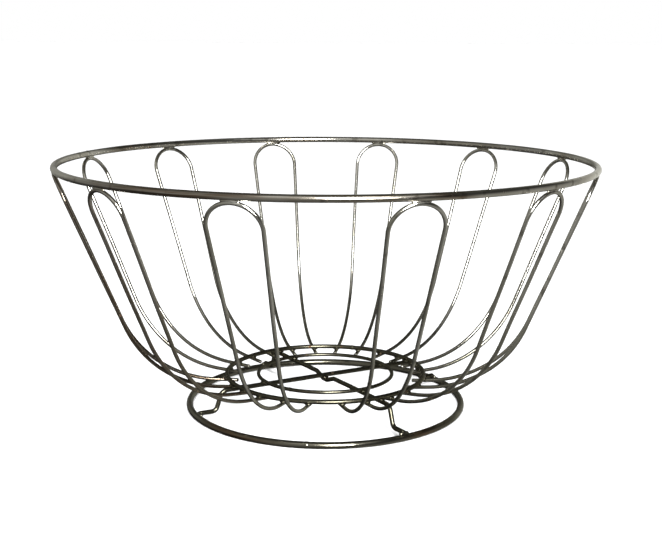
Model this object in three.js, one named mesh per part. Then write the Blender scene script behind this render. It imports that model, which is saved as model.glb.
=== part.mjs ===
// Round wire fruit basket: hairpin arches hang from a rim ring and carry two floor rings.
// Two crossed braces under the floor stand on a foot ring.
// Millimetres, +Z up. The origin is on the table top, on the basket's axis. -Y is the front.
// Every wire is one closed solid. Wires that are welded together keep a small gap between their faces.

import * as THREE from 'three';

const WELD_GAP = 0.3;

// Rings: radius and height are those of the wire's centre line.
const RIM_WIRE = 3.5;
const RIM_RADIUS = 140;
const RIM_HEIGHT = 132;
const FOOT_WIRE = 3.5;
const FOOT_RADIUS = 74;
const FLOOR_WIRE = 2.5;
const FLOOR_RADIUS = 53.5;
const FLOOR_HEIGHT = 17.2;
const CENTRE_WIRE = 2;
const CENTRE_RADIUS = 36.5;

// Arches: a hairpin of thin wire, bent to the bowl's profile.
// They are set by hand on the real basket, so their spacing varies.
// Each angle is used on both sides of the front.
const ARCH_ANGLES = [16.5, 46.5, 75, 108, 136.5, 166];
const ARCH_WIRE = 2;
const SHOULDER_HALF_WIDTH = 12.9;
const WALL_END_HALF_WIDTH = 9.9;
const INNER_END_HALF_WIDTH = 6.3;
const WALL_LEAN = THREE.MathUtils.degToRad(22.3);
const BEND_RADIUS = 59.4;
const FLOOR_SLOPE = THREE.MathUtils.degToRad(5.5);
const INNER_END_RADIUS = 47;

// Braces: two wires that cross under the floor rings. Their ends turn down and out onto the foot ring.
const BRACE_WIRE = 2.5;
const BRACE_ANGLES = [[-63.5, 121.5], [32.5, -150.5]];
const KNEE_RADIUS = 60.5;
const KNEE_BEND = 4;
const ANKLE_RADIUS = 64;
const ANKLE_BEND = 3;
const DIP_HALF_LENGTH = 9;
const DIP_HALF_FLAT = 2;
const DIP_BEND = 4;

// Facets
const THICK_WIRE_SIDES = 10;
const THIN_WIRE_SIDES = 8;
const RIM_SEGMENTS = 72;
const FOOT_SEGMENTS = 60;
const FLOOR_SEGMENTS = 48;
const BEND_STEPS = 8;
const CAP_STEPS = 12;
const KNEE_STEPS = 4;

// Each wire lies under the one that it is welded to.
const ARCH_TOP_HEIGHT = RIM_HEIGHT - (RIM_WIRE + ARCH_WIRE) / 2 - WELD_GAP;
const ARCH_FLOOR_HEIGHT = FLOOR_HEIGHT - (FLOOR_WIRE + ARCH_WIRE) / 2 - WELD_GAP;
const BRACE_HEIGHT = FLOOR_HEIGHT - (FLOOR_WIRE + BRACE_WIRE) / 2 - WELD_GAP;
const CENTRE_HEIGHT = BRACE_HEIGHT + (BRACE_WIRE + CENTRE_WIRE) / 2 + WELD_GAP;

// The bowl's profile from the rim down: straight wall, round bend, straight floor run.
// The floor run passes through (FLOOR_RADIUS, ARCH_FLOOR_HEIGHT), so the wall's foot follows from it.
const BEND_ANGLE = Math.PI / 2 - WALL_LEAN - FLOOR_SLOPE;
const BEND_IN = BEND_RADIUS * (Math.cos(WALL_LEAN) - Math.sin(FLOOR_SLOPE));
const BEND_DOWN = BEND_RADIUS * (Math.cos(FLOOR_SLOPE) - Math.sin(WALL_LEAN));
const RUN_IN = RIM_RADIUS - FLOOR_RADIUS - BEND_IN;
const RUN_DOWN = ARCH_TOP_HEIGHT - ARCH_FLOOR_HEIGHT - BEND_DOWN;
const SLOPE_TAN = Math.tan(FLOOR_SLOPE);
const WALL_DROP_SHARE = Math.cos(WALL_LEAN) - Math.sin(WALL_LEAN) * SLOPE_TAN;
const WALL_LENGTH = (RUN_DOWN - RUN_IN * SLOPE_TAN) / WALL_DROP_SHARE;
const BEND_LENGTH = BEND_RADIUS * BEND_ANGLE;
const BEND_END_RADIUS = RIM_RADIUS - WALL_LENGTH * Math.sin(WALL_LEAN) - BEND_IN;
const RUN_LENGTH = (BEND_END_RADIUS - INNER_END_RADIUS) / Math.cos(FLOOR_SLOPE);
const ARCH_LENGTH = WALL_LENGTH + BEND_LENGTH + RUN_LENGTH;

function chrome(color, roughness) {
  return new THREE.MeshStandardMaterial({ color, metalness: 1, roughness });
}

// A wire's centre line through given points.
// The tangent at each point lies halfway between the two stretches that meet there.
class WireLine extends THREE.Curve {
  constructor(points) {
    super();
    this.points = points;
  }

  getPoint(t, target = new THREE.Vector3()) {
    const place = t * (this.points.length - 1);
    const index = Math.min(Math.floor(place), this.points.length - 2);
    return target.lerpVectors(this.points[index], this.points[index + 1], place - index);
  }

  getTangent(t, target = new THREE.Vector3()) {
    const last = this.points.length - 1;
    const index = Math.round(t * last);
    const here = this.points[index];
    target.set(0, 0, 0);
    if (index > 0) target.add(here.clone().sub(this.points[index - 1]).normalize());
    if (index < last) target.add(this.points[index + 1].clone().sub(here).normalize());
    return target.normalize();
  }

  // Equal steps in t land on the points themselves.
  getUtoTmapping(u) {
    return u;
  }
}

function wire(name, points, diameter, material) {
  const section = new THREE.Shape();
  section.absarc(0, 0, diameter / 2, 0, 2 * Math.PI);
  const geometry = new THREE.ExtrudeGeometry(section, {
    steps: points.length - 1,
    curveSegments: THIN_WIRE_SIDES / 2,
    bevelEnabled: false,
    extrudePath: new WireLine(points),
  });
  const mesh = new THREE.Mesh(geometry, material);
  mesh.name = name;
  return mesh;
}

// A closed ring of wire, centred on the axis.
// Its section has a flat at the bottom, which the foot ring stands on.
function ring(name, radius, height, diameter, sides, segments, material) {
  const profile = [];
  const cornerRadius = diameter / 2 / Math.cos(Math.PI / sides);
  for (let corner = 0; corner <= sides; corner += 1) {
    const angle = (2 * Math.PI * (corner + 0.5)) / sides - Math.PI / 2;
    const across = radius + cornerRadius * Math.cos(angle);
    profile.push(new THREE.Vector2(across, cornerRadius * Math.sin(angle)));
  }
  const geometry = new THREE.LatheGeometry(profile, segments);
  geometry.rotateX(Math.PI / 2);
  const mesh = new THREE.Mesh(geometry, material);
  mesh.name = name;
  mesh.position.z = height;
  return mesh;
}

// A point at an angle from the front (-Y), turning towards +X, with an offset square to that direction.
function polar(degrees, radius, height, offset = 0) {
  const angle = THREE.MathUtils.degToRad(degrees);
  return new THREE.Vector3(
    radius * Math.sin(angle) + offset * Math.cos(angle),
    -radius * Math.cos(angle) + offset * Math.sin(angle),
    height,
  );
}

// Radius and height of the bowl's profile at an arc length from the top of the arch.
function bowlProfile(length) {
  const along = Math.min(length, WALL_LENGTH);
  let radius = RIM_RADIUS - along * Math.sin(WALL_LEAN);
  let height = ARCH_TOP_HEIGHT - along * Math.cos(WALL_LEAN);
  const turn = WALL_LEAN + THREE.MathUtils.clamp(length - WALL_LENGTH, 0, BEND_LENGTH) / BEND_RADIUS;
  radius -= BEND_RADIUS * (Math.cos(WALL_LEAN) - Math.cos(turn));
  height -= BEND_RADIUS * (Math.sin(turn) - Math.sin(WALL_LEAN));
  const run = Math.max(length - WALL_LENGTH - BEND_LENGTH, 0);
  radius -= run * Math.cos(FLOOR_SLOPE);
  height -= run * Math.sin(FLOOR_SLOPE);
  return [radius, height];
}

// Half the distance between an arch's legs: it narrows from the shoulder in two straight stretches.
function legHalfWidth(length) {
  if (length < WALL_LENGTH) {
    const down = (length - SHOULDER_HALF_WIDTH) / (WALL_LENGTH - SHOULDER_HALF_WIDTH);
    return THREE.MathUtils.lerp(SHOULDER_HALF_WIDTH, WALL_END_HALF_WIDTH, down);
  }
  const down = (length - WALL_LENGTH) / (ARCH_LENGTH - WALL_LENGTH);
  return THREE.MathUtils.lerp(WALL_END_HALF_WIDTH, INNER_END_HALF_WIDTH, down);
}

// One arch: a leg up to the shoulder, a half-round cap under the rim, and the other leg.
function arch(name, degrees, material) {
  const flat = [];
  for (let step = 1; step < CAP_STEPS; step += 1) {
    const angle = (Math.PI * step) / CAP_STEPS;
    flat.push([SHOULDER_HALF_WIDTH * (1 - Math.sin(angle)), -SHOULDER_HALF_WIDTH * Math.cos(angle)]);
  }
  const legLengths = [SHOULDER_HALF_WIDTH];
  for (let step = 0; step <= BEND_STEPS; step += 1) {
    legLengths.push(WALL_LENGTH + (BEND_LENGTH * step) / BEND_STEPS);
  }
  legLengths.push(ARCH_LENGTH);
  for (const length of legLengths) {
    flat.unshift([length, -legHalfWidth(length)]);
    flat.push([length, legHalfWidth(length)]);
  }
  const points = flat.map(([length, offset]) => polar(degrees, ...bowlProfile(length), offset));
  return wire(name, points, ARCH_WIRE, material);
}

// Straight stretches between corners, with each inner corner rounded to its own bend radius.
function roundedLine(corners, bends) {
  const points = [corners[0]];
  for (let index = 1; index < corners.length - 1; index += 1) {
    const corner = corners[index];
    const back = corners[index - 1].clone().sub(corner).normalize();
    const on = corners[index + 1].clone().sub(corner).normalize();
    const halfAngle = back.angleTo(on) / 2;
    const centre = back.clone().add(on).normalize().multiplyScalar(bends[index - 1] / Math.sin(halfAngle));
    const start = back.clone().multiplyScalar(bends[index - 1] / Math.tan(halfAngle)).sub(centre);
    const axis = back.clone().cross(on).normalize();
    for (let step = 0; step <= KNEE_STEPS; step += 1) {
      const turn = -((Math.PI - 2 * halfAngle) * step) / KNEE_STEPS;
      points.push(start.clone().applyAxisAngle(axis, turn).add(centre).add(corner));
    }
  }
  points.push(corners[corners.length - 1]);
  return points;
}

// A brace's end: the knee beside the floor, the ankle below it, and the toe on the foot ring.
// The toe meets the ring's upper inner side.
function braceEnd(degrees) {
  const reach = (FOOT_WIRE + BRACE_WIRE) / 2 + WELD_GAP;
  const toeRadius = FOOT_RADIUS - reach * Math.sin(Math.PI / 6);
  const toeHeight = FOOT_WIRE / 2 + reach * Math.cos(Math.PI / 6);
  return [
    polar(degrees, KNEE_RADIUS, BRACE_HEIGHT),
    polar(degrees, ANKLE_RADIUS, toeHeight),
    polar(degrees, toeRadius, toeHeight),
  ];
}

// Where the two braces' straight stretches cross, seen from above.
function crossingPoint() {
  const knees = (angles) => angles.map((angle) => polar(angle, KNEE_RADIUS, 0));
  const [first, second] = BRACE_ANGLES.map(knees);
  const along = first[1].clone().sub(first[0]);
  const across = second[1].clone().sub(second[0]);
  const apart = second[0].clone().sub(first[0]);
  const share = apart.cross(across).z / along.clone().cross(across).z;
  return first[0].clone().addScaledVector(along, share);
}

// A straight brace, or one that dips under the other where they cross.
function brace(name, [start, end], dip, material) {
  const first = braceEnd(start).reverse();
  const last = braceEnd(end);
  const along = last[0].clone().sub(first[2]).normalize();
  const dipPlaces = [
    [-DIP_HALF_LENGTH, 0],
    [-DIP_HALF_FLAT, dip],
    [DIP_HALF_FLAT, dip],
    [DIP_HALF_LENGTH, 0],
  ];
  const places = dip > 0 ? dipPlaces : [];
  const middle = places.map(([distance, drop]) => {
    const place = crossingPoint().addScaledVector(along, distance);
    place.z = BRACE_HEIGHT - drop;
    return place;
  });
  const bends = [ANKLE_BEND, KNEE_BEND, ...middle.map(() => DIP_BEND), KNEE_BEND, ANKLE_BEND];
  return wire(name, roundedLine([...first, ...middle, ...last], bends), BRACE_WIRE, material);
}

const basket = new THREE.Group();

const thickSteel = chrome(0x8d8a84, 0.24);
basket.add(ring('rim_ring', RIM_RADIUS, RIM_HEIGHT, RIM_WIRE, THICK_WIRE_SIDES, RIM_SEGMENTS, thickSteel));
basket.add(
  ring(
    'foot_ring', FOOT_RADIUS, FOOT_WIRE / 2, FOOT_WIRE, THICK_WIRE_SIDES, FOOT_SEGMENTS,
    thickSteel.clone(),
  ),
);

const archSteel = chrome(0x908d88, 0.22);
ARCH_ANGLES.forEach((angle, index) => {
  const number = String(index + 1);
  basket.add(arch(`arch_right_${number}`, angle, archSteel.clone()));
  basket.add(arch(`arch_left_${number}`, -angle, archSteel.clone()));
});

const floorSteel = chrome(0x86827b, 0.28);
basket.add(
  ring(
    'outer_floor_ring', FLOOR_RADIUS, FLOOR_HEIGHT, FLOOR_WIRE, THIN_WIRE_SIDES, FLOOR_SEGMENTS,
    floorSteel,
  ),
);
basket.add(
  ring(
    'inner_floor_ring', CENTRE_RADIUS, CENTRE_HEIGHT, CENTRE_WIRE, THIN_WIRE_SIDES, FLOOR_SEGMENTS,
    floorSteel.clone(),
  ),
);
basket.add(brace('upper_cross_brace', BRACE_ANGLES[0], 0, floorSteel.clone()));
basket.add(brace('lower_cross_brace', BRACE_ANGLES[1], BRACE_WIRE + WELD_GAP, floorSteel.clone()));

export default basket;
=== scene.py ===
"""The looks of a round wire fruit basket: plated wire, its welds, a pale floor and soft studio light."""

import math

import bpy
import numpy as np
from mathutils import Matrix, Vector, noise


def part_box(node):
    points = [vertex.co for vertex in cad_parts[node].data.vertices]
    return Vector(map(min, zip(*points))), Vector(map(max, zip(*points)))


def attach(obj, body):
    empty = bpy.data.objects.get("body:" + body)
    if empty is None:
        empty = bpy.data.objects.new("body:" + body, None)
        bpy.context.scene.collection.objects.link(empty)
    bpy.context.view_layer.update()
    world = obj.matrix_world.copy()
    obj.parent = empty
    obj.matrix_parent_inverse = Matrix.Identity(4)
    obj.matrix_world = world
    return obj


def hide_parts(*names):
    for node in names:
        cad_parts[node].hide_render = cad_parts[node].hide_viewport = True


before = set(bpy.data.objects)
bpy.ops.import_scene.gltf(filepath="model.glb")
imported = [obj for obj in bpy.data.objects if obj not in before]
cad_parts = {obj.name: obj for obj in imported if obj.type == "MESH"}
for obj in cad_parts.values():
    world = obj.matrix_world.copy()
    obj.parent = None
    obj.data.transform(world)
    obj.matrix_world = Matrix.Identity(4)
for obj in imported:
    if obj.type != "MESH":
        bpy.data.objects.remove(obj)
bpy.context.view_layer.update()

MM = 0.001

# The bowl's shape, as the CAD arches have it. Angles in degrees from the front, mirrored left and right.
ARCH_ANGLES = [16.5, 46.5, 75, 108, 136.5, 166]
ARCH_WIRE = 2 * MM
SHOULDER_HALF_WIDTH = 12.9 * MM
WALL_END_HALF_WIDTH = 9.9 * MM
INNER_END_HALF_WIDTH = 6.3 * MM
WALL_LEAN = math.radians(22.3)
BEND_RADIUS = 59.4 * MM
FLOOR_SLOPE = math.radians(5.5)
INNER_END_RADIUS = 47 * MM

# The two braces, as the CAD has them: the angles of their ends, and their bends
BRACE_ANGLES = {"upper_cross_brace": (-63.5, 121.5), "lower_cross_brace": (32.5, -150.5)}
KNEE_RADIUS = 60.5 * MM
KNEE_BEND = 4 * MM
ANKLE_RADIUS = 64 * MM
ANKLE_BEND = 3 * MM
DIP_HALF_LENGTH = 9 * MM
DIP_HALF_FLAT = 2 * MM
DIP_BEND = 4 * MM

# How finely the wires are drawn
SIDES = 20
STEP = 1.2 * MM
CAP_STEPS = 36
CHAMFER = 0.25 * MM

# How far the wires wander from true, how quickly, where in the noise, and how many steps hold their ends
RING_SWAY = 0.3 * MM
ARCH_SWAY = 0.35 * MM
BRACE_SWAY = 0.2 * MM
SWAY_PER_METRE = 26
WANDER_SHIFTS = (0, 17.3, 41.9)
SEED_STEPS = (7.3, 3.1, 5.7)
HELD_STEPS = 12

# How finely a weld bead is drawn, and how lumpy it is
BEAD_RINGS = 14
BEAD_SIDES = 16
BEAD_TAPER = 0.8
LUMP_DEPTH = 0.16
LUMPS_PER_METRE = 900
FINE_LUMPS_PER_METRE = 2300
LUMP_SEED_STEP = 0.61

# Each kind of bead in millimetres: half its length, width and height, and how far its heat marked the wire
RIM_WELD = ((4.6, 1.05, 0.75), 7.5)
LEG_WELD = ((1.7, 1.35, 0.75), 4)
BRACE_WELD = ((1.9, 1.4, 0.7), 4.5)
FOOT_WELD = ((2.9, 1.3, 1.25), 6)
CROSS_WELD = ((1.8, 1.4, 0.7), 4.5)
HEAT_FALL = 3

# Where the beads sit against the wires they join
RIM_WELD_IN = 0.1 * MM
RIM_WELD_DROP = 0.15 * MM
FOOT_WELD_IN = 1.0 * MM
FOOT_WELD_RISE = 0.1 * MM

# The rings' own butt welds: the angle of each, its outline in millimetres along and out of the wire, and how
# far its heat marked the wire, in wire diameters
SEAM_ANGLES = {"rim_ring": -107, "foot_ring": -7, "outer_floor_ring": 163, "inner_floor_ring": -30}
SEAM_OUTLINE = ((-1.309, -0.12), (-0.785, 0.07), (-0.349, 0.12), (0.175, 0.11), (0.611, 0.06), (1.222, -0.12))
SEAM_HEAT_WIRES = 0.9

# Brown stains that are also painted shade, darkening chosen sides of the rings and the arches: the angle of
# each one's middle, and how far it spreads, in degrees
STAINS_AND_SHADE = {
    "rim_ring": ((-27, 22), (22, 5)),
    "foot_ring": ((-38, 16), (40, 7)),
    "arch": ((-68, 30),),
}

# Each plating's bright and tarnished colour, its roughness where bright, and its tint at grazing angles
PLATINGS = {
    "arch": ((0.52, 0.51, 0.47), (0.32, 0.31, 0.26), 0.1, 0.65),
    "rim": ((0.5, 0.49, 0.45), (0.28, 0.25, 0.2), 0.11, 1.0),
    "floor": ((0.11, 0.105, 0.083), (0.06, 0.055, 0.04), 0.2, 0.5),
    "foot": ((0.32, 0.31, 0.27), (0.17, 0.155, 0.117), 0.14, 0.62),
}
EDGE_YELLOW = 0.96

# What age has put on the plating, with a darkening towards the bottom and brown that also paints shade: the
# colours, how strongly the darkening towards the bottom and the pits cover it, and the heights that the
# darkening starts at and is strongest at
LOW_DARKENING = (0.1, 0.095, 0.068)
LOW_DARKENING_SHARE = 0.65
LOW_DARKENING_TOP = 75 * MM
LOW_DARKENING_FULL = 12 * MM
PIT = (0.11, 0.1, 0.08)
PIT_SHARE = 0.55
# The brown of the stains, which also paints shade on chosen sides
BROWN_STAIN_AND_SHADE = (0.15, 0.1, 0.06)
SCALE = (0.045, 0.038, 0.03)
RUST = (0.13, 0.06, 0.03)

# How fine the marks are, per metre, and how far the drawing lines are stretched along the wire
PATCHES_PER_METRE = 22
PITS_PER_METRE = 130
SPECKS_PER_METRE = 420
GRAIN_PER_METRE = 1600
DRAWING_STRETCH = (60, 30, 1)

# The stretch of each noise over which its mark fades in
PATCH_RANGE = (0.42, 0.66)
SPECK_RANGE = (0.66, 0.74)
PIT_RANGE = (0.6, 0.68)
STREAK_RANGE = (0.3, 0.6)
SCALE_RANGE = (0.35, 1.0)

# How much rougher tarnish, weld scale and rust are than bright plating, and the depth of the marks
TARNISH_ROUGH = 0.1
SCALE_ROUGH = 0.45
RUST_ROUGH = 0.4
BUMP_STRENGTH = 0.25
BUMP_DEPTH = 0.05 * MM

# The camera: its place in metres, its angles in degrees, its lens and sensor in millimetres
CAMERA_PLACE = (0, -0.6091, 0.1966)
CAMERA_TILT = 11.79
CAMERA_PAN = 0.275
CAMERA_ROLL = 0.235
CAMERA_LENS = 62.84
CAMERA_SENSOR = 36

# The floor's reach in metres, its colour and its roughness
FLOOR_REACH = 40
FLOOR_COLOUR = (0.88, 0.885, 0.9)
FLOOR_ROUGH = 0.9

# The softboxes: their places, their sizes and their power in watts. Both face the basket's middle.
SOFTBOXES = {
    "wide_softbox": ((0.16, -1.12, 1.23), (2.0, 0.74), 3.0),
    "narrow_softbox": ((0.18, -0.95, 0.4), (0.36, 0.7), 27),
}
BASKET_MIDDLE = (0, 0, 0.1)

# The sun that whitens the floor: its strength, its width and its lean in degrees
SUN_STRENGTH = 3.3
SUN_WIDTH = 40
SUN_LEAN = (12, -8, 0)

# The room that the wires mirror: its tint and its dark level, then each lighter patch's direction, its half
# angle in degrees, and what it adds at its middle
ROOM_TINT = (1.0, 0.99, 0.93)
ROOM_DARK = 0.06
ROOM_LIGHT = (
    ((-0.55, -0.8, 0.25), 60, 0.4),
    ((0.0, -0.8, 0.6), 55, 0.12),
    ((0.85, 0.3, -0.6), 68, 0.44),
    ((-0.1, -0.6, -0.8), 62, 0.16),
    ((-0.95, 0.2, 0.3), 48, 0.26),
    ((-0.1, 0.1, 1.0), 55, 0.12),
    ((0.48, 0.9, 0.1), 35, 0.55),
    ((-0.5, 0.9, 0.2), 33, 0.29),
)


def ring_size(node):
    """Centre line radius, centre height and wire diameter of a CAD ring."""
    low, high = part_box(node)
    wire = high[2] - low[2]
    return high[0] - wire / 2, (low[2] + high[2]) / 2, wire


# The rings' sizes, and the heights of what is welded under them
RIM_RADIUS, RIM_HEIGHT, RIM_WIRE = ring_size("rim_ring")
FOOT_RADIUS, FOOT_HEIGHT, FOOT_WIRE = ring_size("foot_ring")
FLOOR_RADIUS, FLOOR_HEIGHT, FLOOR_WIRE = ring_size("outer_floor_ring")
CENTRE_RADIUS, CENTRE_HEIGHT, CENTRE_WIRE = ring_size("inner_floor_ring")
BRACE_WIRE = FLOOR_WIRE
BRACE_HEIGHT = FLOOR_HEIGHT - (FLOOR_WIRE + BRACE_WIRE) / 2
ARCH_TOP = RIM_HEIGHT - (RIM_WIRE + ARCH_WIRE) / 2
ARCH_FLOOR = FLOOR_HEIGHT - (FLOOR_WIRE + ARCH_WIRE) / 2

# An arch's leg, seen from the side: a leaning wall, a round bend, and a run under the floor
BEND_ANGLE = math.pi / 2 - WALL_LEAN - FLOOR_SLOPE
BEND_IN = BEND_RADIUS * (math.cos(WALL_LEAN) - math.sin(FLOOR_SLOPE))
BEND_DOWN = BEND_RADIUS * (math.cos(FLOOR_SLOPE) - math.sin(WALL_LEAN))
RUN_IN = RIM_RADIUS - FLOOR_RADIUS - BEND_IN
RUN_DOWN = ARCH_TOP - ARCH_FLOOR - BEND_DOWN
SLOPE_TAN = math.tan(FLOOR_SLOPE)
WALL_LENGTH = (RUN_DOWN - RUN_IN * SLOPE_TAN) / (math.cos(WALL_LEAN) - math.sin(WALL_LEAN) * SLOPE_TAN)
BEND_LENGTH = BEND_RADIUS * BEND_ANGLE
BEND_END_RADIUS = RIM_RADIUS - WALL_LENGTH * math.sin(WALL_LEAN) - BEND_IN
RUN_LENGTH = (BEND_END_RADIUS - INNER_END_RADIUS) / math.cos(FLOOR_SLOPE)
ARCH_LENGTH = WALL_LENGTH + BEND_LENGTH + RUN_LENGTH

# Where the braces' cut ends are pressed into the foot ring
TOE_HEIGHT = FOOT_HEIGHT + 0.4 * (FOOT_WIRE + BRACE_WIRE)
TOE_RADIUS = FOOT_RADIUS - 0.3 * BRACE_WIRE


# ---- centre lines ----

def polar(degrees, radius, height, offset=0.0):
    """A point at an angle from the front (-Y) towards +X, with an offset square to that direction."""
    angle = math.radians(degrees)
    across, back = math.sin(angle), -math.cos(angle)
    return Vector((radius * across - offset * back, radius * back + offset * across, height))


def lerp(a, b, share):
    """The number that lies at a share of the way from a to b."""
    return a + (b - a) * share


def bowl_profile(length):
    """Radius and height of an arch at an arc length from its top."""
    along = min(length, WALL_LENGTH)
    turn = WALL_LEAN + min(max(length - WALL_LENGTH, 0), BEND_LENGTH) / BEND_RADIUS
    run = max(length - WALL_LENGTH - BEND_LENGTH, 0)
    radius = RIM_RADIUS - along * math.sin(WALL_LEAN) - run * math.cos(FLOOR_SLOPE)
    radius -= BEND_RADIUS * (math.cos(WALL_LEAN) - math.cos(turn))
    height = ARCH_TOP - along * math.cos(WALL_LEAN) - run * math.sin(FLOOR_SLOPE)
    height -= BEND_RADIUS * (math.sin(turn) - math.sin(WALL_LEAN))
    return radius, height


def leg_half_width(length):
    """Half the distance between an arch's two legs, at an arc length from its top."""
    if length < WALL_LENGTH:
        share = (length - SHOULDER_HALF_WIDTH) / (WALL_LENGTH - SHOULDER_HALF_WIDTH)
        return lerp(SHOULDER_HALF_WIDTH, WALL_END_HALF_WIDTH, share)
    share = (length - WALL_LENGTH) / (ARCH_LENGTH - WALL_LENGTH)
    return lerp(WALL_END_HALF_WIDTH, INNER_END_HALF_WIDTH, share)


def arch_line(degrees):
    """A whole arch: one leg from its inner end up to the round cap, and the other leg down again."""
    leg_steps = round((ARCH_LENGTH - SHOULDER_HALF_WIDTH) / STEP)
    flat = []
    for step in range(1, CAP_STEPS):
        angle = math.pi * step / CAP_STEPS
        length = SHOULDER_HALF_WIDTH * (1 - math.sin(angle))
        flat.append((length, -SHOULDER_HALF_WIDTH * math.cos(angle)))
    for step in range(leg_steps + 1):
        length = lerp(SHOULDER_HALF_WIDTH, ARCH_LENGTH, step / leg_steps)
        flat.insert(0, (length, -leg_half_width(length)))
        flat.append((length, leg_half_width(length)))
    return [polar(degrees, *bowl_profile(length), offset) for length, offset in flat]


def ring_line(radius, height):
    """A level circle, whose last point is one step short of its first."""
    steps = round(2 * math.pi * radius / STEP)
    return [polar(360 * step / steps, radius, height) for step in range(steps)]


def rounded_line(corners, bends):
    """Straight stretches between corners, with each inner corner rounded to its bend radius."""
    bent = [corners[0]]
    for index, bend in enumerate(bends, 1):
        corner = corners[index]
        back = (corners[index - 1] - corner).normalized()
        on = (corners[index + 1] - corner).normalized()
        half = back.angle(on) / 2
        centre = corner + (back + on).normalized() * bend / math.sin(half)
        start = corner + back * bend / math.tan(half) - centre
        axis = back.cross(on).normalized()
        turn = math.pi - 2 * half
        steps = max(3, round(turn * bend / (STEP / 2)))
        for step in range(steps + 1):
            bent.append(centre + Matrix.Rotation(-turn * step / steps, 3, axis) @ start)
    bent.append(corners[-1])
    points = [bent[0]]
    for start, end in zip(bent, bent[1:]):
        steps = max(1, round((end - start).length / STEP))
        points += [start.lerp(end, step / steps) for step in range(1, steps + 1)]
    return points


def brace_end(degrees):
    """The knee, the ankle and the toe, whose cut end is pressed into the foot ring's upper inner side."""
    return [
        polar(degrees, KNEE_RADIUS, BRACE_HEIGHT),
        polar(degrees, ANKLE_RADIUS, TOE_HEIGHT),
        polar(degrees, TOE_RADIUS, TOE_HEIGHT),
    ]


def crossing_point():
    """Where the two braces' straight stretches cross, seen from above."""
    upper, lower = [[polar(angle, KNEE_RADIUS, 0) for angle in angles] for angles in BRACE_ANGLES.values()]
    along = upper[1] - upper[0]
    across = lower[1] - lower[0]
    share = (lower[0] - upper[0]).cross(across).z / along.cross(across).z
    return upper[0] + along * share


def brace_line(name):
    """A whole brace from toe to toe. The lower one dips under the upper one where they cross."""
    start, end = BRACE_ANGLES[name]
    first = brace_end(start)[::-1]
    last = brace_end(end)
    along = (last[0] - first[2]).normalized()
    middle = []
    if name == "lower_cross_brace":
        dip = (
            (-DIP_HALF_LENGTH, 0),
            (-DIP_HALF_FLAT, BRACE_WIRE),
            (DIP_HALF_FLAT, BRACE_WIRE),
            (DIP_HALF_LENGTH, 0),
        )
        for distance, drop in dip:
            place = crossing_point() + along * distance
            place.z = BRACE_HEIGHT - drop
            middle.append(place)
    bends = [ANKLE_BEND, KNEE_BEND, *[DIP_BEND] * len(middle), KNEE_BEND, ANKLE_BEND]
    return rounded_line([*first, *middle, *last], bends)


# ---- meshes ----

def sweep(points, radii, closed=False):
    """Vertices, faces and UVs of a round bar along a line, with its own radius at each point."""
    count = len(points)
    verts, faces, uvs = [], [], []
    tangents = []
    for index, point in enumerate(points):
        before = points[index - 1] if closed or index else point
        after = points[(index + 1) % count] if closed or index < count - 1 else point
        tangents.append((after - before).normalized())
    up = Vector((0, 0, 1))
    normal = (up - tangents[0] * up.dot(tangents[0])).normalized()
    length = 0.0
    lengths = []
    for index, point in enumerate(points):
        tangent = tangents[index]
        normal = (normal - tangent * normal.dot(tangent)).normalized()
        side = tangent.cross(normal)
        if index:
            length += (point - points[index - 1]).length
        lengths.append(length)
        for corner in range(SIDES):
            angle = 2 * math.pi * corner / SIDES
            radius = radii[index]
            verts.append(point + normal * radius * math.cos(angle) + side * radius * math.sin(angle))
    rows = count if closed else count - 1
    for row in range(rows):
        here, there = row * SIDES, (row + 1) % count * SIDES
        along = lengths[row + 1] if row + 1 < count else length + STEP
        for corner in range(SIDES):
            after = (corner + 1) % SIDES
            faces.append((here + corner, there + corner, there + after, here + after))
            low, high = corner / SIDES, (corner + 1) / SIDES
            uvs += [(lengths[row], low), (along, low), (along, high), (lengths[row], high)]
    if not closed:
        for ring, place, order in ((0, 0.0, 1), ((count - 1) * SIDES, length, -1)):
            faces.append([ring + corner for corner in range(SIDES)][::order])
            uvs += [(place, corner / SIDES) for corner in range(SIDES)][::order]
    return verts, faces, uvs


def cut_ends(points, radius):
    """A bar's line with a point more at each chamfered end, and the bar's radius at each point."""
    out = [points[0], points[0] + (points[1] - points[0]).normalized() * CHAMFER]
    out += points[1:-1]
    out += [points[-1] - (points[-1] - points[-2]).normalized() * CHAMFER, points[-1]]
    radii = [radius] * len(out)
    radii[0] = radii[-1] = radius - CHAMFER
    return out, radii


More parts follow.
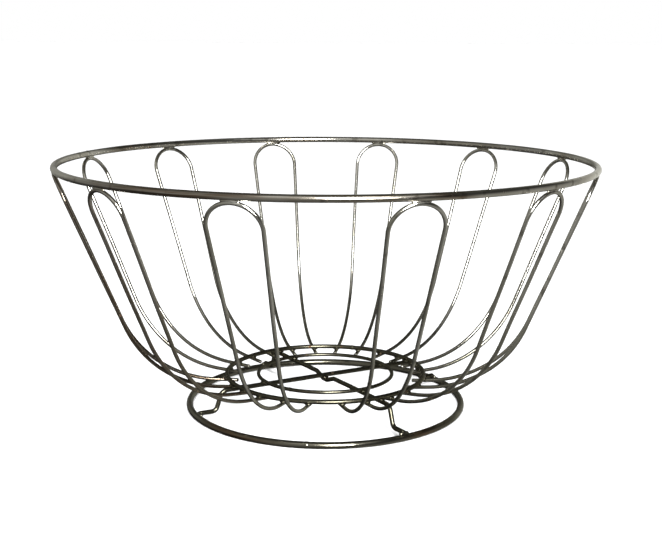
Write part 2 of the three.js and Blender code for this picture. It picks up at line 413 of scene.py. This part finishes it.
def mesh_object(name, parts, material, stains_and_shade=()):
    """One smooth object from bars or beads, which knows how near the welds are and where the brown stains and
    painted shade lie.
    """
    verts, faces, uvs = [], [], []
    for part_verts, part_faces, part_uvs in parts:
        faces += [[index + len(verts) for index in face] for face in part_faces]
        verts += part_verts
        uvs += part_uvs
    mesh = bpy.data.meshes.new(name)
    mesh.from_pydata(verts, [], faces)
    layer = mesh.uv_layers.new(name="wire")
    layer.data.foreach_set("uv", np.array(uvs, dtype=np.float32).ravel())
    mesh.shade_smooth()
    places = np.array([tuple(vert) for vert in verts])
    nearest = np.full(len(places), 1.0)
    for centre, spread in WELDS:
        nearest = np.minimum(nearest, np.linalg.norm(places - np.array(centre), axis=1) / spread)
    heat = mesh.attributes.new("heat", "FLOAT", "POINT")
    heat.data.foreach_set("value", np.exp(-HEAT_FALL * nearest**2).astype(np.float32))
    # The stain attribute holds brown stains that also paint shade, strongest at the chosen angles around the
    # basket
    angles = np.degrees(np.arctan2(places[:, 0], -places[:, 1]))
    marked = np.zeros(len(places))
    for middle, spread in stains_and_shade:
        marked = np.maximum(marked, np.exp(-(((angles - middle) / spread) ** 2)))
    stain_and_shade = mesh.attributes.new("stain_and_shade", "FLOAT", "POINT")
    stain_and_shade.data.foreach_set("value", marked.astype(np.float32))
    mesh.materials.append(material)
    obj = bpy.data.objects.new(name, mesh)
    bpy.context.scene.collection.objects.link(obj)
    return obj


def wander(place):
    """A smooth random vector, the same in each run. mathutils' noise_vector changes with the clock."""
    return Vector([noise.noise(place + Vector((shift, 0, 0))) for shift in WANDER_SHIFTS])


def sway(points, amount, seed, closed=False):
    """A line moved a little out of true, as hand-set wire is. An open line's ends are held."""
    drift = []
    for index, point in enumerate(points):
        place = point * SWAY_PER_METRE + Vector([seed * step for step in SEED_STEPS])
        hold = 1 if closed else min(1, index / HELD_STEPS, (len(points) - 1 - index) / HELD_STEPS)
        drift.append(point + wander(place) * amount * hold)
    return drift


def bead(centre, along, up, half_length, half_width, half_height, seed):
    """A lumpy weld bead: a spindle of closed rings that tapers to both ends."""
    along = along.normalized()
    up = (up - along * up.dot(along)).normalized()
    across = along.cross(up)
    verts, faces, uvs = [], [], []
    for ring in range(1, BEAD_RINGS):
        angle = math.pi * ring / BEAD_RINGS
        for corner in range(BEAD_SIDES):
            turn = 2 * math.pi * corner / BEAD_SIDES
            out = across * math.cos(turn) * half_width + up * math.sin(turn) * half_height
            place = centre - along * half_length * math.cos(angle) + out * math.sin(angle) ** BEAD_TAPER
            lump = noise.noise(place * LUMPS_PER_METRE + Vector((seed, 0, 0)))
            lump += 0.5 * noise.noise(place * FINE_LUMPS_PER_METRE)
            verts.append(place + out * LUMP_DEPTH * lump * math.sin(angle))
    first = len(verts)
    verts += [centre - along * half_length, centre + along * half_length]
    for ring in range(BEAD_RINGS - 2):
        for corner in range(BEAD_SIDES):
            after = (corner + 1) % BEAD_SIDES
            low, high = ring * BEAD_SIDES, (ring + 1) * BEAD_SIDES
            faces.append((low + corner, high + corner, high + after, low + after))
    last = (BEAD_RINGS - 2) * BEAD_SIDES
    for corner in range(BEAD_SIDES):
        after = (corner + 1) % BEAD_SIDES
        faces.append((first, corner, after))
        faces.append((first + 1, last + after, last + corner))
    # A bead has no drawing lines, so each face takes the same tiny stretch of the map.
    for face in faces:
        uvs += [(corner / 4 * MM, 0.0) for corner in range(len(face))]
    return verts, faces, uvs


# ---- materials ----

def plated_wire(name, bright, tarnish, rough, edge):
    """Old plating: tarnish, drawing lines, darkening towards the bottom, pits, brown stains with painted
    shade, rust specks and scale at the welds.
    """
    material = bpy.data.materials.new(name)
    material.use_nodes = True
    nodes, links = material.node_tree.nodes, material.node_tree.links
    shader = nodes["Principled BSDF"]
    shader.inputs["Metallic"].default_value = 1.0
    shader.inputs["Specular Tint"].default_value = (edge, edge, EDGE_YELLOW * edge, 1)

    def ramp(source, low, high):
        node = nodes.new("ShaderNodeMapRange")
        node.inputs["From Min"].default_value = low
        node.inputs["From Max"].default_value = high
        links.new(source, node.inputs["Value"])
        return node.outputs["Result"]

    def mixed(share, first, second):
        node = nodes.new("ShaderNodeMix")
        node.data_type = "RGBA"
        links.new(share, node.inputs[0])
        for socket, value in ((node.inputs[6], first), (node.inputs[7], second)):
            if isinstance(value, tuple):
                socket.default_value = (*value, 1)
            else:
                links.new(value, socket)
        return node.outputs[2]

    def maths(operation, first, second):
        node = nodes.new("ShaderNodeMath")
        node.operation = operation
        for socket, value in zip(node.inputs, (first, second)):
            if isinstance(value, (int, float)):
                socket.default_value = value
            else:
                links.new(value, socket)
        return node.outputs[0]

    def noise_of(coordinates, scale, detail, roughness=0.5):
        node = nodes.new("ShaderNodeTexNoise")
        node.inputs["Scale"].default_value = scale
        node.inputs["Detail"].default_value = detail
        node.inputs["Roughness"].default_value = roughness
        links.new(coordinates, node.inputs["Vector"])
        return node.outputs["Fac"]

    place = nodes.new("ShaderNodeTexCoord")
    stretch = nodes.new("ShaderNodeMapping")
    stretch.inputs["Scale"].default_value = DRAWING_STRETCH
    links.new(place.outputs["UV"], stretch.inputs["Vector"])
    heat = nodes.new("ShaderNodeAttribute")
    heat.attribute_name = "heat"

    patches = ramp(noise_of(place.outputs["Object"], PATCHES_PER_METRE, 4, 0.6), *PATCH_RANGE)
    specks = ramp(noise_of(place.outputs["Object"], SPECKS_PER_METRE, 3), *SPECK_RANGE)
    pits = ramp(noise_of(place.outputs["Object"], PITS_PER_METRE, 2), *PIT_RANGE)
    drawing = noise_of(stretch.outputs["Vector"], 1, 2)
    grain = noise_of(place.outputs["Object"], GRAIN_PER_METRE, 2)
    scale = ramp(maths("ADD", heat.outputs["Fac"], maths("MULTIPLY", grain, 0.25)), *SCALE_RANGE)
    rust = maths("MULTIPLY", specks, maths("ADD", patches, 0.25))
    # Brown stains that also paint shade on chosen sides, streaked along the wire
    stain_and_shade = nodes.new("ShaderNodeAttribute")
    stain_and_shade.attribute_name = "stain_and_shade"
    streaks = ramp(noise_of(stretch.outputs["Vector"], 0.6, 3), *STREAK_RANGE)
    brown_stain_and_shade = maths("MULTIPLY", stain_and_shade.outputs["Fac"], streaks)
    # Darker towards the bottom: nothing above the top height, full strength below the lower one
    height = nodes.new("ShaderNodeSeparateXYZ")
    links.new(place.outputs["Object"], height.inputs[0])
    low_darkening = ramp(height.outputs["Z"], LOW_DARKENING_TOP, LOW_DARKENING_FULL)

    colour = mixed(patches, bright, tarnish)
    colour = mixed(maths("MULTIPLY", low_darkening, LOW_DARKENING_SHARE), colour, LOW_DARKENING)
    colour = mixed(maths("MULTIPLY", pits, PIT_SHARE), colour, PIT)
    colour = mixed(brown_stain_and_shade, colour, BROWN_STAIN_AND_SHADE)
    colour = mixed(scale, colour, SCALE)
    colour = mixed(rust, colour, RUST)
    links.new(colour, shader.inputs["Base Color"])

    roughness = maths("ADD", maths("MULTIPLY", patches, TARNISH_ROUGH), rough)
    roughness = maths("ADD", roughness, maths("MULTIPLY", scale, SCALE_ROUGH))
    roughness = maths("ADD", roughness, maths("MULTIPLY", rust, RUST_ROUGH))
    links.new(roughness, shader.inputs["Roughness"])

    bump = nodes.new("ShaderNodeBump")
    bump.inputs["Strength"].default_value = BUMP_STRENGTH
    bump.inputs["Distance"].default_value = BUMP_DEPTH
    links.new(maths("ADD", drawing, maths("MULTIPLY", grain, scale)), bump.inputs["Height"])
    links.new(bump.outputs["Normal"], shader.inputs["Normal"])
    return material


# ---- camera, floor and light ----

def set_camera():
    """The view from in front of the basket, a little above its rim and looking slightly down."""
    data = bpy.data.cameras.new("camera")
    data.lens = CAMERA_LENS
    data.sensor_width = CAMERA_SENSOR
    camera = bpy.data.objects.new("camera", data)
    pan = Matrix.Rotation(-math.radians(CAMERA_PAN), 4, "Z")
    tilt = Matrix.Rotation(math.pi / 2 - math.radians(CAMERA_TILT), 4, "X")
    roll = Matrix.Rotation(math.radians(CAMERA_ROLL), 4, "Z")
    camera.matrix_world = Matrix.Translation(CAMERA_PLACE) @ (pan @ tilt @ roll)
    bpy.context.scene.collection.objects.link(camera)
    bpy.context.scene.camera = camera


def set_floor():
    """A wide pale floor at the foot's height, which the wires don't mirror."""
    mesh = bpy.data.meshes.new("floor")
    corners = [(FLOOR_REACH * x, FLOOR_REACH * y, 0) for x, y in ((-1, -1), (1, -1), (1, 1), (-1, 1))]
    mesh.from_pydata(corners, [], [(0, 1, 2, 3)])
    floor = bpy.data.objects.new("floor", mesh)
    bpy.context.scene.collection.objects.link(floor)
    material = bpy.data.materials.new("pale_floor")
    material.use_nodes = True
    shader = material.node_tree.nodes["Principled BSDF"]
    shader.inputs["Base Color"].default_value = (*FLOOR_COLOUR, 1)
    shader.inputs["Roughness"].default_value = FLOOR_ROUGH
    mesh.materials.append(material)
    floor.visible_glossy = False


def add_softboxes():
    """A wide softbox above the camera, and a narrow one by its right side."""
    for name, (place, size, power) in SOFTBOXES.items():
        data = bpy.data.lights.new(name, "AREA")
        data.shape = "RECTANGLE"
        data.size, data.size_y = size
        data.energy = power
        light = bpy.data.objects.new(name, data)
        light.location = place
        light.rotation_euler = (Vector(BASKET_MIDDLE) - Vector(place)).to_track_quat("-Z", "Y").to_euler()
        light.visible_camera = False
        bpy.context.scene.collection.objects.link(light)


def add_sun():
    """A broad sun from overhead, which whitens the floor and isn't mirrored in the wires."""
    data = bpy.data.lights.new("soft_sun", "SUN")
    data.energy = SUN_STRENGTH
    data.angle = math.radians(SUN_WIDTH)
    sun = bpy.data.objects.new("soft_sun", data)
    sun.rotation_euler = [math.radians(lean) for lean in SUN_LEAN]
    sun.visible_glossy = False
    bpy.context.scene.collection.objects.link(sun)


def set_room():
    """A world that looks white to the camera, and is a dim room with lighter patches to everything else."""
    world = bpy.data.worlds.new("studio")
    bpy.context.scene.world = world
    world.use_nodes = True
    nodes, links = world.node_tree.nodes, world.node_tree.links
    direction = nodes.new("ShaderNodeTexCoord")
    total = None
    for towards, spread, level in ROOM_LIGHT:
        toward = nodes.new("ShaderNodeVectorMath")
        toward.operation = "DOT_PRODUCT"
        toward.inputs[1].default_value = Vector(towards).normalized()
        links.new(direction.outputs["Generated"], toward.inputs[0])
        patch = nodes.new("ShaderNodeMapRange")
        patch.interpolation_type = "SMOOTHSTEP"
        patch.inputs["From Min"].default_value = math.cos(math.radians(spread))
        patch.inputs["From Max"].default_value = 1.0
        patch.inputs["To Max"].default_value = level
        links.new(toward.outputs["Value"], patch.inputs["Value"])
        if total is None:
            total = patch.outputs["Result"]
        else:
            add = nodes.new("ShaderNodeMath")
            links.new(total, add.inputs[0])
            links.new(patch.outputs["Result"], add.inputs[1])
            total = add.outputs[0]
    room = nodes["Background"]
    room.inputs["Color"].default_value = (*ROOM_TINT, 1)
    base = nodes.new("ShaderNodeMath")
    base.inputs[1].default_value = ROOM_DARK
    links.new(total, base.inputs[0])
    links.new(base.outputs[0], room.inputs["Strength"])
    backdrop = nodes.new("ShaderNodeBackground")
    backdrop.inputs["Color"].default_value = (1, 1, 1, 1)
    ray = nodes.new("ShaderNodeLightPath")
    choose = nodes.new("ShaderNodeMixShader")
    links.new(ray.outputs["Is Camera Ray"], choose.inputs[0])
    links.new(room.outputs[0], choose.inputs[1])
    links.new(backdrop.outputs[0], choose.inputs[2])
    links.new(choose.outputs[0], nodes["World Output"].inputs["Surface"])


# ---- the basket ----

WELDS = []
BEADS = {"rim": [], "floor": [], "foot": []}


def weld(group, centre, along, up, sizes, spread):
    """Adds a bead and remembers where its heat has marked the wire."""
    seed = 1 + len(WELDS) * LUMP_SEED_STEP
    BEADS[group].append(bead(centre, along, up, *[size * MM for size in sizes], seed))
    WELDS.append((centre, spread * MM))


def across_floor(start, end, radius):
    """Where a level line between two points first crosses a circle around the basket's axis."""
    line = (end - start).normalized()
    middle = start.dot(line)
    reach = math.sqrt(middle**2 - start.dot(start) + start.z**2 + radius**2)
    return start + line * (-middle - reach)


def add_welds():
    """A bead wherever wires meet: at the rim, the floor and the foot ring, and where the braces cross."""
    up = Vector((0, 0, 1))
    inner_run = ARCH_LENGTH - (FLOOR_RADIUS - INNER_END_RADIUS) / math.cos(FLOOR_SLOPE)
    for angle in ARCH_ANGLES:
        for degrees in (angle, -angle):
            outward = polar(degrees, 1, 0)
            around = outward.cross(up)
            touch = polar(degrees, RIM_RADIUS - RIM_WELD_IN, RIM_HEIGHT - RIM_WIRE / 2 - RIM_WELD_DROP)
            weld("rim", touch, around, up, *RIM_WELD)
            for side in (-1, 1):
                offset = side * leg_half_width(inner_run)
                depth = math.sqrt(FLOOR_RADIUS**2 - offset**2)
                touch = polar(degrees, depth, FLOOR_HEIGHT - FLOOR_WIRE / 2, offset)
                weld("floor", touch, around, up, *LEG_WELD)
    for start, end in BRACE_ANGLES.values():
        ends = [polar(angle, KNEE_RADIUS, FLOOR_HEIGHT - FLOOR_WIRE / 2) for angle in (start, end)]
        for first, last in (ends, ends[::-1]):
            for radius in (FLOOR_RADIUS, CENTRE_RADIUS):
                touch = across_floor(first, last, radius)
                around = Vector((touch.x, touch.y, 0)).cross(up)
                weld("floor", touch, around, up, *BRACE_WELD)
        for angle in (start, end):
            touch = polar(angle, FOOT_RADIUS - FOOT_WELD_IN, FOOT_HEIGHT + FOOT_WIRE / 2 + FOOT_WELD_RISE)
            weld("foot", touch, polar(angle, 1, 0).cross(up), up, *FOOT_WELD)
    cross = crossing_point() + up * (BRACE_HEIGHT - BRACE_WIRE / 2)
    weld("floor", cross, Vector((1, 0.3, 0)), up, *CROSS_WELD)


def seam(degrees, radius, height, wire):
    """The ring's own butt weld: a low dark collar around the wire, ground nearly flush."""
    WELDS.append((polar(degrees, radius, height), SEAM_HEAT_WIRES * wire))
    line = []
    radii = []
    for along, out in SEAM_OUTLINE:
        line.append(polar(degrees + math.degrees(along * MM / radius), radius, height))
        radii.append(wire / 2 + out * MM)
    return sweep(line, radii)


def build():
    """Every wire and every group of welds, each on the one body."""
    add_welds()
    steel = {group: plated_wire(f"{group}_plating", *plating) for group, plating in PLATINGS.items()}
    made = []
    rings = (
        ("rim_ring", RIM_RADIUS, RIM_HEIGHT, RIM_WIRE, "rim"),
        ("foot_ring", FOOT_RADIUS, FOOT_HEIGHT, FOOT_WIRE, "foot"),
        ("outer_floor_ring", FLOOR_RADIUS, FLOOR_HEIGHT, FLOOR_WIRE, "floor"),
        ("inner_floor_ring", CENTRE_RADIUS, CENTRE_HEIGHT, CENTRE_WIRE, "floor"),
    )
    for node, radius, height, wire, group in rings:
        drift = sway(ring_line(radius, height), RING_SWAY, radius, closed=True)
        level = [Vector((*point.xy, height)) for point in drift]
        parts = [sweep(level, [wire / 2] * len(level), closed=True)]
        parts.append(seam(SEAM_ANGLES[node], radius, height, wire))
        piece = mesh_object(f"{node}_wire", parts, steel[group], STAINS_AND_SHADE.get(node, ()))
        made.append((piece, node, group))
    for number, angle in enumerate(ARCH_ANGLES, 1):
        for side, degrees in (("right", angle), ("left", -angle)):
            node = f"arch_{side}_{number}"
            line, radii = cut_ends(sway(arch_line(degrees), ARCH_SWAY, degrees), ARCH_WIRE / 2)
            piece = mesh_object(f"{node}_wire", [sweep(line, radii)], steel["arch"], STAINS_AND_SHADE["arch"])
            made.append((piece, node, "arch"))
    for node in BRACE_ANGLES:
        line, radii = cut_ends(sway(brace_line(node), BRACE_SWAY, len(node)), BRACE_WIRE / 2)
        piece = mesh_object(f"{node}_wire", [sweep(line, radii)], steel["floor"])
        made.append((piece, node, "floor"))
    for group, beads in BEADS.items():
        piece = mesh_object(f"{group}_welds", beads, steel[group])
        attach(piece, "root")
    for piece, node, group in made:
        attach(piece, "root")
        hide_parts(node)


bpy.context.scene.view_settings.view_transform = "Standard"
set_camera()
set_floor()
add_softboxes()
add_sun()
set_room()
build()
